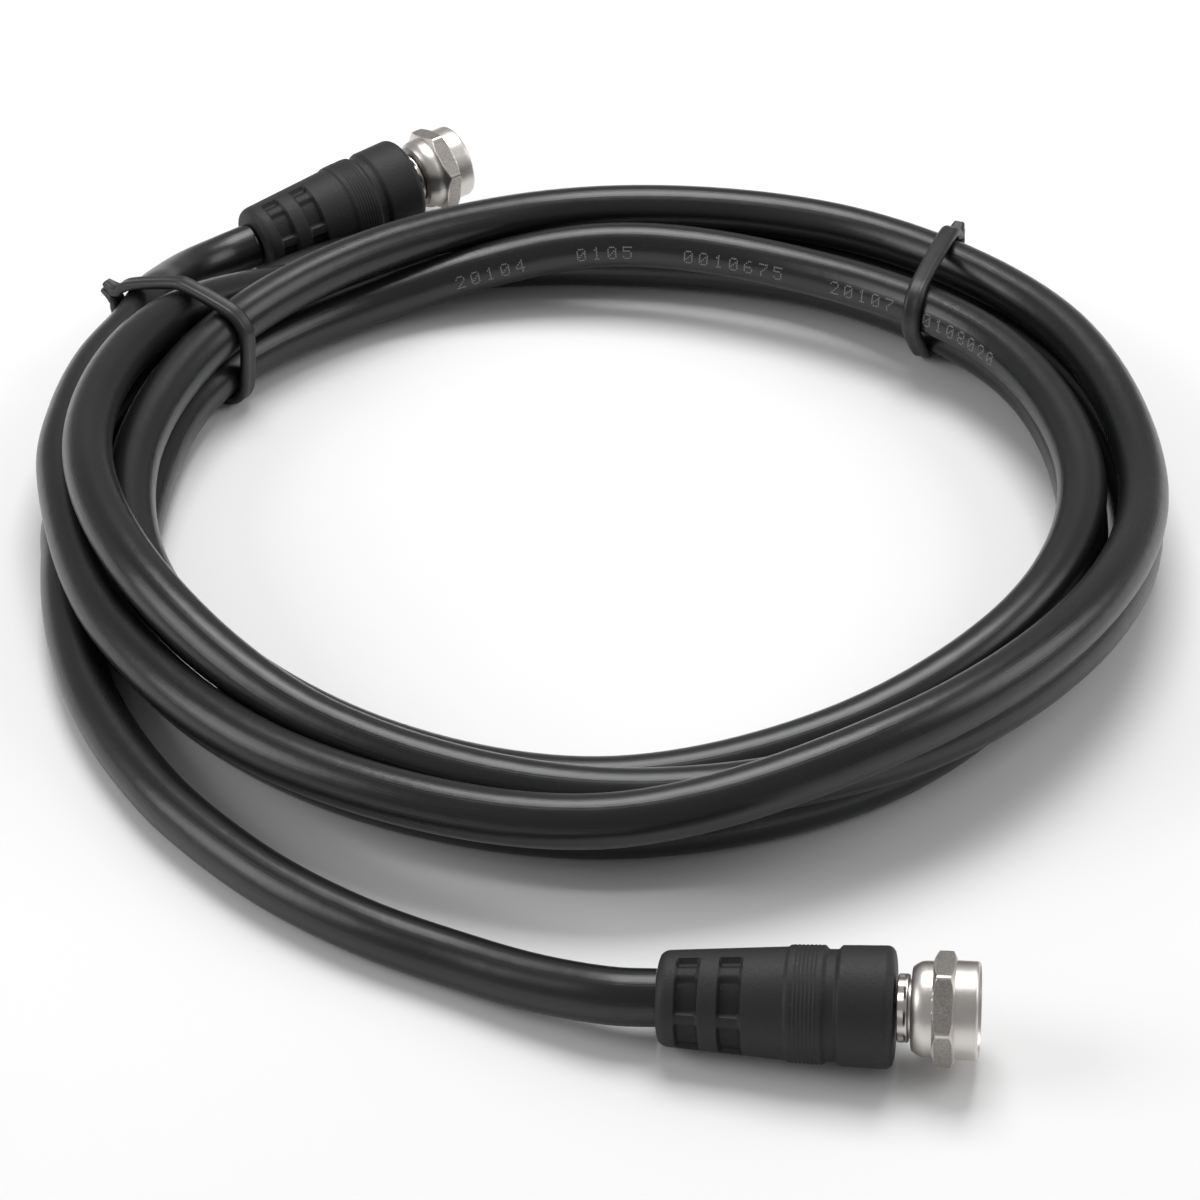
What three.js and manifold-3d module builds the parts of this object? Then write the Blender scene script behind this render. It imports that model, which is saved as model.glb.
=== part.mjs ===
// A coaxial patch cable wound into a loose coil of four turns and held by two thin ties,
// with a moulded boot and a screw-on connector at each end. Millimetres, +Z up.
import * as THREE from 'three';
import { mergeVertices } from 'three/addons/utils/BufferGeometryUtils.js';
import Module from 'manifold-3d';

const wasm = await Module();
wasm.setup();

// Driving dimensions
const gap = 0.3;                 // clearance between pieces that touch
const cableDiameter = 6.1;
const coilCentre = new THREE.Vector2(0.11, 8.24);   // from the middle of the whole part
const sectionSides = 12;
const stepsPerTurn = 36;
const hoursPerTurn = 12;
const tailSteps = 2;              // steps between the stations of a free end

const bootLength = 24.4;
const bootCableRadius = 4.95;    // at the end that the cable enters
const bootTaperRadius = 5.85;    // where the taper meets the step
const bootGripRadius = 6.05;     // just past the step
const bootEndRadius = 6.38;      // at the end that faces the nut
const bootEdgeRound = 1.0;
const slotDepth = 1.0;
const slotStarts = [2.1, 6.55];  // the two flexing slots, from the cable end
const slotWidth = 2.25;
const slotWebs = 6;              // webs that bridge each slot
const slotWebTurn = 15;          // how far the first one is above the level, in degrees
const slotWebWidth = 1.6;
const slotWebRise = 0.8;         // how far a web stands up from the slot's floor
const slotWebRoot = 0.5;         // how deep it is rooted in the floor
const slotWebBite = 0.3;         // and in the slot's sides
const stepStart = 13.3;
const stepWidth = 0.3;
const grooveStart = 17.1;
const grooveWidth = 1.8;
const grooveDepth = 0.4;
const bootSides = 36;
const edgeSteps = 3;             // facets across a rounded edge

const ferruleRadius = 3.55;      // the bare metal sleeve between boot and nut
const ferruleLength = 1.2;
const neckRadius = 3.0;          // the journal that the nut turns on
const flangeRadius = 4.0;        // holds the nut on, inside it
const flangeLength = 1.0;
const ferruleSides = 32;

const nutLength = 6.9;
const nutRearRadius = 4.5;
const nutShoulderRadius = 4.95;
const nutShoulderLength = 2.2;
const nutWall = 1.4;             // the nut's rear wall, that the neck passes through
const nutAcrossFlats = 10.6;
const nutCornerRadius = 6.05;    // the hexagon's corners are turned down to this
const nutFlangeLength = 2.3;
const nutCollarRadius = 5.1;
const threadRadius = 4.45;
const nutChamfer = 0.43;         // taken off the hexagon's corners, along the axis
const nutChamferDrop = 0.75;     // and towards the axis
const nutBevel = 0.3;            // on the collar's front edge
const nutTurn = 16;              // turns one flat of the hexagon up towards the front, in degrees
const nutSides = 36;
const cutOver = 0.5;             // how far a cutting body runs past the face that it cuts

const insulatorRadius = 1.9;
const insulatorLength = 0.9;
const insulatorSides = 24;
const pinRadius = 0.42;
const pinTipRadius = 0.21;
const pinShort = 0.6;            // how far the pin stays inside the nut's front face
const pinSides = 12;

const tieWidth = 1.5;
const tieThickness = 0.9;
const tieEndLength = 3.0;        // its two ends stand out this far, one on the other
const tieEndTurn = 0.35;         // and point this far above the level, in radians
const tieSides = 8;
const tieDirections = 24;
const tieSteps = 60;

// The coil's route: for each clock hour of each turn, how far its centre line runs from the
// coil's centre and how high. Hour 0 is at the left, and the hours run towards the front,
// the right and the back.
const turns = [
  [[66.5, 9.4], [65.2, 9.2], [68.2, 9.8], [71.5, 11.2], [68.2, 14.2], [66.4, 13.3],
    [66.8, 9.7], [68.6, 10.6], [68.1, 10.5], [65.9, 9.9], [60.0, 11.2], [58.2, 10.5]],
  [[57.6, 9.7], [58.0, 8.8], [54.9, 4.6], [54.5, 3.2], [55.7, 6.1], [58.4, 9.7],
    [59.3, 9.7], [58.9, 10.1], [56.6, 9.5], [57.3, 8.9], [58.5, 4.5], [58.7, 4.3]],
  [[57.0, 3.2], [61.5, 3.2], [62.2, 3.1], [63.2, 3.1], [62.1, 3.1], [59.8, 3.1],
    [60.0, 3.2], [62.3, 4.3], [62.0, 4.3], [62.2, 3.3], [64.8, 4.5], [64.7, 12.2]],
  [[62.8, 14.8], [61.0, 14.7], [61.8, 10.7], [64.5, 9.4], [65.2, 8.6], [65.2, 7.0],
    [66.8, 3.4], [68.8, 4.3], [69.0, 4.3], [69.0, 3.3], [72.0, 3.6], [67.0, 4.3]],
];

// The two free ends, from the coil's centre. The back one runs from its boot to the coil,
// and the front one from the coil to its boot.
const backBoot = { place: [-47.7, 64.4, 5.05], heading: 34.0, tilt: 5.5 };
const frontBoot = { place: [6.2, -93.5, 5.25], heading: -7.5, tilt: 3.4 };
const straightExit = 5;          // the cable leaves a boot straight for this far
const backEnd = [
  [-55.6, 57.2, 5.0], [-58.0, 50.6, 6.7], [-59.5, 43.4, 8.8],
  [-61.1, 35.7, 9.5], [-64.8, 25.2, 9.6], [-66.7, 13.4, 9.5],
];
const frontEnd = [
  [-66.0, 0.0, 3.1], [-65.3, -9.8, 3.1], [-64.2, -18.4, 3.1], [-62.5, -26.6, 3.1],
  [-59.6, -36.4, 3.1], [-55.7, -45.5, 3.1], [-51.3, -53.4, 3.1], [-46.5, -60.3, 3.1],
  [-36.4, -71.2, 3.1], [-25.7, -79.3, 3.1], [-14.9, -85.2, 3.2],
  [-6.6, -89.6, 3.9],
];

// Where each tie goes round the bundle, in clock hours, and how far its band is turned
// from square to the cable, in degrees
const leftTie = { hour: 10.9, slant: 0 };
const rightTie = { hour: 7.5, slant: 24 };
const bundleMiddle = 62;         // how far the middle of the bundle is from the coil's centre

// Materials
function finish(colour, roughness, metalness) {
  return new THREE.MeshStandardMaterial({ color: colour, roughness, metalness });
}

const jacket = finish(0x26272a, 0.42, 0);
const bootPlastic = finish(0x37373a, 0.7, 0);
const nickel = finish(0xc8beb9, 0.32, 1);
const dielectric = finish(0xe9e7e0, 0.5, 0);
const copper = finish(0xb87d52, 0.35, 1);
const tieRubber = finish(0x1d1d1f, 0.6, 0);

const object = new THREE.Group();

function addPiece(parent, name, geometry, material) {
  const piece = new THREE.Mesh(geometry, material);
  piece.name = name;
  parent.add(piece);
  return piece;
}

// Booleans

function toSolid(geometry) {
  const bare = geometry.clone();
  bare.deleteAttribute('normal');
  bare.deleteAttribute('uv');
  const merged = mergeVertices(bare, 1e-5);
  return new wasm.Manifold(new wasm.Mesh({
    numProp: 3,
    vertProperties: new Float32Array(merged.attributes.position.array),
    triVerts: new Uint32Array(merged.index.array),
  }));
}

function toGeometry(solid) {
  const mesh = solid.getMesh();
  const geometry = new THREE.BufferGeometry();
  geometry.setAttribute('position', new THREE.BufferAttribute(mesh.vertProperties, 3));
  geometry.setIndex(new THREE.BufferAttribute(mesh.triVerts, 1));
  geometry.computeVertexNormals();
  return geometry;
}

// A turned solid about +Y, from its profile of [radius, height] pairs
function turned(profile, sides) {
  return new THREE.LatheGeometry(profile.map(([r, y]) => new THREE.Vector2(r, y)), sides);
}

// The cable's route

function stationAt([radius, height], hour) {
  const angle = Math.PI + (2 * Math.PI * hour) / hoursPerTurn;
  return new THREE.Vector3(radius * Math.cos(angle), radius * Math.sin(angle), height);
}

const toPoint = (place) => new THREE.Vector3(...place);

// Which way a boot points, from its cable end to its nut
function axisOf({ heading, tilt }) {
  const turn = THREE.MathUtils.degToRad(heading);
  const rise = THREE.MathUtils.degToRad(tilt);
  return new THREE.Vector3(
    Math.cos(turn) * Math.cos(rise), Math.sin(turn) * Math.cos(rise), Math.sin(rise),
  );
}

// The boot's cable end, and the point to which the cable leaves it straight
function exitOf(boot) {
  const end = toPoint(boot.place);
  return [end, end.clone().addScaledVector(axisOf(boot), -straightExit)];
}

const backStations = [...exitOf(backBoot), ...backEnd.map(toPoint)];
const frontStations = [...frontEnd.map(toPoint), ...exitOf(frontBoot).reverse()];
const stations = [
  ...backStations,
  ...turns.flatMap((turn) => turn.map(stationAt)),
  ...frontStations,
];
const coilFirst = backStations.length;                   // the station where the coil starts
const coilLast = coilFirst + turns.length * hoursPerTurn;
const route = new THREE.CatmullRomCurve3(stations, false, 'centripetal');

// The stretch of the route between two stations. Its steps are even in stations, so the
// flats of turns that lie beside each other line up.
class Stretch extends THREE.Curve {
  constructor(from, to) {
    super();
    this.from = from;
    this.to = to;
  }

  fraction(t) {
    return (this.from + (this.to - this.from) * t) / (stations.length - 1);
  }

  getPoint(t, target) {
    return route.getPoint(this.fraction(t), target);
  }

  getPointAt(t, target) {
    return this.getPoint(t, target);
  }

  getTangentAt(t, target) {
    return route.getTangent(this.fraction(t), target);
  }
}

function roundSection(halfWidth, halfHeight, sides) {
  const corners = Array.from({ length: sides }, (_, i) => {
    const angle = (2 * Math.PI * i) / sides;
    return new THREE.Vector2(halfWidth * Math.cos(angle), halfHeight * Math.sin(angle));
  });
  return new THREE.Shape(corners);
}

function sweep(curve, section, steps) {
  return new THREE.ExtrudeGeometry(section, { steps, bevelEnabled: false, extrudePath: curve });
}

const cableSection = roundSection(cableDiameter / 2, cableDiameter / 2, sectionSides);

function addCable(name, from, to, stepsPerStation) {
  const steps = Math.round((to - from) * stepsPerStation);
  addPiece(object, name, sweep(new Stretch(from, to), cableSection, steps), jacket);
}

// A free end keeps the gap to the coil's end face and to its boot
function gapInStations(station, neighbour) {
  return gap / stations[station].distanceTo(stations[neighbour]);
}

addCable('cable_coil', coilFirst, coilLast, stepsPerTurn / hoursPerTurn);
addCable(
  'cable_tail_back',
  gapInStations(0, 1),
  coilFirst - gapInStations(coilFirst - 1, coilFirst),
  tailSteps,
);
addCable(
  'cable_tail_front',
  coilLast + gapInStations(coilLast, coilLast + 1),
  stations.length - 1 - gapInStations(stations.length - 2, stations.length - 1),
  tailSteps,
);

// The boot: a moulded sleeve with two flexing slots, a step, a shallow groove and an end collar

function bootRadiusAt(y) {
  if (y <= stepStart) {
    return THREE.MathUtils.mapLinear(y, 0, stepStart, bootCableRadius, bootTaperRadius);
  }
  return THREE.MathUtils.mapLinear(y, stepStart, bootLength, bootGripRadius, bootEndRadius);
}

function bootProfile() {
  const profile = [[0, 0]];
  for (let i = edgeSteps; i >= 0; i -= 1) {
    const angle = (Math.PI / 2) * (i / edgeSteps);
    profile.push([
      bootRadiusAt(bootEdgeRound) - bootEdgeRound * (1 - Math.cos(angle)),
      bootEdgeRound * (1 - Math.sin(angle)),
    ]);
  }
  for (const start of slotStarts) {
    const end = start + slotWidth;
    profile.push([bootRadiusAt(start), start], [bootRadiusAt(start) - slotDepth, start]);
    profile.push([bootRadiusAt(end) - slotDepth, end], [bootRadiusAt(end), end]);
  }
  profile.push([bootRadiusAt(stepStart), stepStart], [bootGripRadius, stepStart + stepWidth]);
  const grooveEnd = grooveStart + grooveWidth;
  profile.push([bootRadiusAt(grooveStart), grooveStart]);
  profile.push([bootRadiusAt(grooveStart) - grooveDepth, grooveStart + grooveWidth / 3]);
  profile.push([bootRadiusAt(grooveEnd) - grooveDepth, grooveEnd - grooveWidth / 3]);
  profile.push([bootRadiusAt(grooveEnd), grooveEnd]);
  for (let i = 0; i <= edgeSteps; i += 1) {
    const angle = (Math.PI / 2) * (i / edgeSteps);
    profile.push([
      bootEndRadius - bootEdgeRound * (1 - Math.cos(angle)),
      bootLength - bootEdgeRound * (1 - Math.sin(angle)),
    ]);
  }
  profile.push([0, bootLength]);
  return profile;
}

function slotWeb(start, turn) {
  const floorRadius = bootRadiusAt(start) - slotDepth;
  const web = new THREE.BoxGeometry(
    slotWebWidth, slotWidth + 2 * slotWebBite, slotWebRise + slotWebRoot,
  );
  web.translate(0, start + slotWidth / 2, floorRadius + (slotWebRise - slotWebRoot) / 2);
  web.rotateY(turn);
  return web;
}

function makeBoot() {
  let solid = toSolid(turned(bootProfile(), bootSides));
  const firstWeb = THREE.MathUtils.degToRad(90 - slotWebTurn);
  for (const start of slotStarts) {
    for (let i = 0; i < slotWebs; i += 1) {
      const turn = firstWeb + (2 * Math.PI * i) / slotWebs;
      solid = solid.add(toSolid(slotWeb(start, turn)));
    }
  }
  return toGeometry(solid);
}

// The ferrule: a bare sleeve, the neck that the nut turns on and the flange that keeps it on

const ferruleStart = bootLength + gap;
const nutStart = ferruleStart + ferruleLength + gap;
const flangeStart = nutStart + nutWall + gap;
const flangeEnd = flangeStart + flangeLength;
const nutEnd = nutStart + nutLength;

function makeFerrule() {
  return turned([
    [0, ferruleStart], [ferruleRadius, ferruleStart],
    [ferruleRadius, ferruleStart + ferruleLength], [neckRadius, ferruleStart + ferruleLength],
    [neckRadius, flangeStart], [flangeRadius, flangeStart],
    [flangeRadius, flangeEnd], [0, flangeEnd],
  ], ferruleSides);
}

const insulatorStart = flangeEnd + gap;
const insulatorEnd = insulatorStart + insulatorLength;

function makeInsulator() {
  return turned([
    [0, insulatorStart], [insulatorRadius, insulatorStart],
    [insulatorRadius, insulatorEnd], [0, insulatorEnd],
  ], insulatorSides);
}

function makePin() {
  const start = insulatorEnd + gap;
  const end = nutEnd - pinShort;
  return turned([
    [0, start], [pinRadius, start], [pinRadius, end - pinRadius],
    [pinTipRadius, end], [0, end],
  ], pinSides);
}

// The nut: a round shoulder, a hexagon with turned-down corners and a round collar

function makeNut() {
  const hexStart = nutStart + nutShoulderLength;
  const hexEnd = hexStart + nutFlangeLength;
  const body = toSolid(turned([
    [0, nutStart], [nutRearRadius, nutStart],
    [nutShoulderRadius, nutStart + nutShoulderLength / 2], [nutShoulderRadius, hexStart + nutChamfer],
    [nutCollarRadius, hexStart + nutChamfer], [nutCollarRadius, nutEnd - nutBevel],
    [nutCollarRadius - nutBevel, nutEnd], [0, nutEnd],
  ], nutSides));
  const hexagon = new THREE.CylinderGeometry(
    nutAcrossFlats / Math.sqrt(3), nutAcrossFlats / Math.sqrt(3), nutFlangeLength, 6,
  );
  hexagon.rotateY(THREE.MathUtils.degToRad(nutTurn));
  hexagon.translate(0, hexStart + nutFlangeLength / 2, 0);
  const turnedDown = turned([
    [0, hexStart - nutChamfer], [nutCornerRadius - 2 * nutChamferDrop, hexStart - nutChamfer],
    [nutCornerRadius, hexStart + nutChamfer], [nutCornerRadius, hexEnd - nutChamfer],
    [nutCornerRadius - 2 * nutChamferDrop, hexEnd + nutChamfer], [0, hexEnd + nutChamfer],
  ], nutSides);
  const hole = toSolid(turned([
    [0, nutStart - cutOver], [neckRadius + gap, nutStart - cutOver],
    [neckRadius + gap, nutStart + nutWall], [threadRadius, nutStart + nutWall],
    [threadRadius, nutEnd + cutOver], [0, nutEnd + cutOver],
  ], nutSides));
  return toGeometry(body.add(toSolid(hexagon).intersect(toSolid(turnedDown))).subtract(hole));
}

function addConnector(side, { place, heading, tilt }) {
  const connector = new THREE.Group();
  addPiece(connector, `boot_${side}`, makeBoot(), bootPlastic);
  addPiece(connector, `ferrule_${side}`, makeFerrule(), nickel);
  addPiece(connector, `insulator_${side}`, makeInsulator(), dielectric);
  addPiece(connector, `pin_${side}`, makePin(), copper);
  addPiece(connector, `nut_${side}`, makeNut(), nickel);
  const level = new THREE.Matrix4().makeRotationZ(THREE.MathUtils.degToRad(heading));
  const rise = new THREE.Matrix4().makeRotationY(THREE.MathUtils.degToRad(-tilt));
  const alongX = new THREE.Matrix4().makeRotationZ(-Math.PI / 2);
  connector.applyMatrix4(level.multiply(rise).multiply(alongX));
  connector.position.set(...place);
  object.add(connector);
}

addConnector('front', frontBoot);
addConnector('back', backBoot);

// The ties: a thin band round every strand at its clock hour, whose two ends stand out one
// on the other on the outside of the bundle

// A tie's plane: its middle, and which way is outwards and which along the cable
function tiePlane({ hour, slant }) {
  const angle = Math.PI + (2 * Math.PI * hour) / hoursPerTurn;
  const turn = angle + THREE.MathUtils.degToRad(slant);
  return {
    middle: new THREE.Vector3(bundleMiddle * Math.cos(angle), bundleMiddle * Math.sin(angle), 0),
    outwards: new THREE.Vector3(Math.cos(turn), Math.sin(turn), 0),
    along: new THREE.Vector3(-Math.sin(turn), Math.cos(turn), 0),
  };
}

// Half the width that a strand takes up within the tie's width, when it crosses aslant
function halfCut(aside, ahead) {
  const turn = Math.atan(Math.abs(aside / ahead));
  return cableDiameter / 2 / Math.cos(turn) + (tieWidth / 2) * Math.tan(turn);
}

// Where the cable crosses that plane, as (distance outwards from its middle, height), with
// half the width and height that it takes up there
function strandsAcross({ middle, outwards, along }) {
  const samples = route.getPoints((stations.length - 1) * stepsPerTurn)
    .map((point) => point.sub(middle));
  const strands = [];
  samples.slice(1).forEach((point, i) => {
    const step = point.clone().sub(samples[i]);
    const crosses = samples[i].dot(along) * point.dot(along) <= 0;
    if (crosses && point.dot(outwards) > -bundleMiddle / 2) {
      strands.push({
        centre: new THREE.Vector2(point.dot(outwards), point.z),
        halfWidth: halfCut(step.dot(outwards), step.dot(along)),
        halfHeight: halfCut(step.z, step.dot(along)),
      });
    }
  });
  return strands;
}

// The outermost point of a strand's cut, an ellipse, in a direction
function outermost({ centre, halfWidth, halfHeight }, way) {
  return new THREE.Vector2(way.x * halfWidth ** 2, way.y * halfHeight ** 2)
    .divideScalar(Math.hypot(way.x * halfWidth, way.y * halfHeight))
    .add(centre);
}

// The band in its own plane, with x outwards and y up
function bandPoints(plane) {
  const strands = strandsAcross(plane);
  const band = [];
  for (let i = 0; i <= tieDirections; i += 1) {
    const turn = tieEndTurn + (2 * Math.PI * i) / tieDirections;
    const way = new THREE.Vector2(Math.cos(turn), Math.sin(turn));
    const edges = strands.map((strand) => outermost(strand, way));
    const edge = edges.reduce((best, e) => (e.dot(way) > best.dot(way) ? e : best));
    band.push(edge.clone().addScaledVector(way, gap + tieThickness / 2));
  }
  return band;
}

function tieRoute(plane) {
  const band = bandPoints(plane);
  const out = new THREE.Vector2(Math.cos(tieEndTurn), Math.sin(tieEndTurn));
  const aside = new THREE.Vector2(-out.y, out.x).multiplyScalar(tieThickness / 2 + gap / 2);
  const root = band[0].clone().addScaledVector(out, tieThickness);
  const tip = root.clone().addScaledVector(out, tieEndLength);
  const points = [
    tip.clone().add(aside), root.clone().add(aside),
    ...band.slice(1, -1),
    root.clone().sub(aside), tip.clone().sub(aside),
  ].map((p) => new THREE.Vector3(p.x, p.y, 0));
  const curve = new THREE.CurvePath();
  points.slice(1).forEach((point, i) => curve.add(new THREE.LineCurve3(points[i], point)));
  return curve;
}

function addTie(name, place) {
  const plane = tiePlane(place);
  const section = roundSection(tieWidth / 2, tieThickness / 2, tieSides);
  const tie = addPiece(object, name, sweep(tieRoute(plane), section, tieSteps), tieRubber);
  const up = new THREE.Vector3(0, 0, 1);
  const normal = plane.outwards.clone().cross(up);
  tie.quaternion.setFromRotationMatrix(
    new THREE.Matrix4().makeBasis(plane.outwards, up, normal),
  );
  tie.position.copy(plane.middle);
}

addTie('tie_left', leftTie);
addTie('tie_right', rightTie);

object.children.forEach((child) => {
  child.position.x += coilCentre.x;
  child.position.y += coilCentre.y;
});

export default object;
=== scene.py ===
# %% [markdown]
# # A coaxial patch cable in a loose coil
# The packed model gives the frame: every solid at its real size and place. This lesson builds
# the looks round it, one piece at a time: the jacket, the moulded boots, the plated nuts and
# what sits in them, the two ties and the printed numbers. All sizes are in metres.

# %% Load the frame
import math

import bpy
import numpy as np
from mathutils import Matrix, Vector


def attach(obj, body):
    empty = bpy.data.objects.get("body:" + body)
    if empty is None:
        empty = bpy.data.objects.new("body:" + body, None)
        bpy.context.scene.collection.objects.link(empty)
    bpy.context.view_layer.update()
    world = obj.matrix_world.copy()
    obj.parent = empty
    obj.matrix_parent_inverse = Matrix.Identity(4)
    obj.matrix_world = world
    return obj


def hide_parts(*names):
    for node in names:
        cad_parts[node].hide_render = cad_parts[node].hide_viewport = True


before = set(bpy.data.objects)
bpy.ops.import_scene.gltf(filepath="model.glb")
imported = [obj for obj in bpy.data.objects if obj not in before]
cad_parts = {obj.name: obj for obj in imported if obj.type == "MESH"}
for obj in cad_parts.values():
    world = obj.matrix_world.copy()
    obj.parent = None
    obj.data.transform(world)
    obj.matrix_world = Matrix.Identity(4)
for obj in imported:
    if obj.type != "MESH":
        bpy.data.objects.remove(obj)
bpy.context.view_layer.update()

# %% [markdown]
# Every place is written in millimetres, as on the drawing of the part, and turned into metres
# by one factor. The coil's centre is not the origin, because the free ends reach further to
# the front than to the back, so it has a place of its own.

# %% Sizes that everything shares
MM = 0.001
COIL_CENTRE = np.array([0.11, 8.24, 0.0])
CABLE_DIAMETER = 6.1
HOURS = 12
GAP = 0.3

# %% [markdown]
# The camera comes first. A long lens from 35 degrees above the floor shows the coil as an
# ellipse with little perspective. A camera looks along its own -Z, so turning it 55 degrees
# about X, away from straight down, makes it look 35 degrees below the level.

# %% The camera
CAMERA_RISE = math.radians(35)
CAMERA_DISTANCE = 460.97
LOOKED_AT = np.array([0.11, -5.76, 0.0])

camera = bpy.data.objects.new("camera", bpy.data.cameras.new("camera"))
camera.data.sensor_width = 36
camera.data.lens = 113.54
camera.location = MM * (LOOKED_AT + CAMERA_DISTANCE * np.array(
    [0, -math.cos(CAMERA_RISE), math.sin(CAMERA_RISE)]))
camera.rotation_euler = (math.pi / 2 - CAMERA_RISE, 0, 0)
bpy.context.collection.objects.link(camera)
bpy.context.scene.camera = camera
print("camera at", [round(c, 3) for c in camera.location])

# %% [markdown]
# The cable's route is a list of stations. Round the coil there is one for each clock hour of
# each turn: how far the cable's middle is from the coil's centre, and how high. A real coil is
# never a neat ring, because its turns spring apart and cross, so each station has a value of
# its own. The two free ends are lists of points, and the cable leaves each boot straight.

# %% The route's stations
TURNS = [
    [(66.5, 9.4), (65.2, 9.2), (68.2, 9.8), (71.5, 11.2), (68.2, 14.2), (66.4, 13.3),
     (66.8, 9.7), (68.6, 10.6), (68.1, 10.5), (65.9, 9.9), (60.0, 11.2), (58.2, 10.5)],
    [(57.6, 9.7), (58.0, 8.8), (54.9, 4.6), (54.5, 3.2), (55.7, 6.1), (58.4, 9.7),
     (59.3, 9.7), (58.9, 10.1), (56.6, 9.5), (57.3, 8.9), (58.5, 4.5), (58.7, 4.3)],
    [(57.0, 3.2), (61.5, 3.2), (62.2, 3.1), (63.2, 3.1), (62.1, 3.1), (59.8, 3.1),
     (60.0, 3.2), (62.3, 4.3), (62.0, 4.3), (62.2, 3.3), (64.8, 4.5), (64.7, 12.2)],
    [(62.8, 14.8), (61.0, 14.7), (61.8, 10.7), (64.5, 9.4), (65.2, 8.6), (65.2, 7.0),
     (66.8, 3.4), (68.8, 4.3), (69.0, 4.3), (69.0, 3.3), (72.0, 3.6), (67.0, 4.3)],
]
BACK_BOOT = {"place": (-47.7, 64.4, 5.05), "heading": 34.0, "tilt": 5.5}
FRONT_BOOT = {"place": (6.2, -93.5, 5.25), "heading": -7.5, "tilt": 3.4}
STRAIGHT_EXIT = 5.0
BACK_END = [
    (-55.6, 57.2, 5.0), (-58.0, 50.6, 6.7), (-59.5, 43.4, 8.8),
    (-61.1, 35.7, 9.5), (-64.8, 25.2, 9.6), (-66.7, 13.4, 9.5),
]
FRONT_END = [
    (-66.0, 0.0, 3.1), (-65.3, -9.8, 3.1), (-64.2, -18.4, 3.1), (-62.5, -26.6, 3.1),
    (-59.6, -36.4, 3.1), (-55.7, -45.5, 3.1), (-51.3, -53.4, 3.1), (-46.5, -60.3, 3.1),
    (-36.4, -71.2, 3.1), (-25.7, -79.3, 3.1), (-14.9, -85.2, 3.2), (-6.6, -89.6, 3.9),
]


def clock_angle(hour):
    return math.pi + 2 * math.pi * hour / HOURS


def axes_of(boot):
    """A connector's axis, the way up square to it, and the way to its side nearest the viewer."""
    heading, tilt = math.radians(boot["heading"]), math.radians(boot["tilt"])
    ahead = np.array([math.cos(heading), math.sin(heading), 0.0])
    axis = math.cos(tilt) * ahead + np.array([0, 0, math.sin(tilt)])
    up = -math.sin(tilt) * ahead + np.array([0, 0, math.cos(tilt)])
    return axis, up, np.cross(axis, up)


def exit_of(boot):
    end = np.array(boot["place"])
    return [end, end - STRAIGHT_EXIT * axes_of(boot)[0]]


def station_at(hour, radius, height):
    angle = clock_angle(hour)
    return np.array([radius * math.cos(angle), radius * math.sin(angle), height])


back_stations = exit_of(BACK_BOOT) + [np.array(p) for p in BACK_END]
coil_stations = [station_at(h, r, z) for turn in TURNS for h, (r, z) in enumerate(turn)]
front_stations = [np.array(p) for p in FRONT_END] + exit_of(FRONT_BOOT)[::-1]
stations = np.array(back_stations + coil_stations + front_stations)
coil_first = len(back_stations)
print(len(stations), "stations, and the coil starts at number", coil_first)

# %% [markdown]
# A centripetal Catmull-Rom curve passes through every station and doesn't overshoot where
# they are unevenly spaced. It is worked out here by hand, because Blender's own Catmull-Rom is
# of the uniform kind, which would leave the solids that the part was packed with.

# %% The curve through the stations


def curve_through(points, steps):
    """The curve as points, with that many steps between one station and the next."""
    padded = np.vstack([2 * points[0] - points[1], points, 2 * points[-1] - points[-2]])
    t = (np.arange(steps) / steps)[:, None]
    pieces = []
    for p0, p1, p2, p3 in zip(padded, padded[1:], padded[2:], padded[3:]):
        d0, d1, d2 = (math.sqrt(np.linalg.norm(b - a)) for a, b in ((p0, p1), (p1, p2), (p2, p3)))
        leave = d1 * ((p1 - p0) / d0 - (p2 - p0) / (d0 + d1) + (p2 - p1) / d1)
        arrive = d1 * ((p2 - p1) / d1 - (p3 - p1) / (d1 + d2) + (p3 - p2) / d2)
        pieces.append(p1 + leave * t + (3 * (p2 - p1) - 2 * leave - arrive) * t ** 2
                      + (2 * (p1 - p2) + leave + arrive) * t ** 3)
    return np.vstack(pieces + [points[-1]])


def run_along(line):
    """How far along a line of points each one is."""
    return np.concatenate([[0], np.cumsum(np.linalg.norm(np.diff(line, axis=0), axis=1))])


STEPS = 14
cable_line = curve_through(stations, STEPS)
cable_line[0] -= GAP * axes_of(BACK_BOOT)[0]
cable_line[-1] -= GAP * axes_of(FRONT_BOOT)[0]
cable_run = run_along(cable_line)
print("the cable is", round(cable_run[-1] * MM, 4), "m long")

# %% [markdown]
# Materials are trees of nodes. Reckoning with numbers takes a Math node for each step, which
# is tedious to write, so one small class wraps a socket and gives it Python's operators:
# `0.4 + 0.1 * noise` then adds its nodes by itself. One method makes any other node from its
# type, its settings and what goes into its sockets. Geometry trees use the same method.

# %% A wrapper for node trees


class Signal:
    """One output socket, which can be reckoned with."""

    def __init__(self, nodes, socket):
        self.nodes = nodes
        self.socket = socket

    def reckon(self, operation, *values):
        return self.nodes.add("ShaderNodeMath", {"operation": operation}, dict(enumerate(values)))

    def __add__(self, other):
        return self.reckon("ADD", self, other)

    def __mul__(self, other):
        return self.reckon("MULTIPLY", self, other)

    def over(self, threshold):
        return self.reckon("GREATER_THAN", self, threshold)

    __radd__ = __add__
    __rmul__ = __mul__


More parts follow.
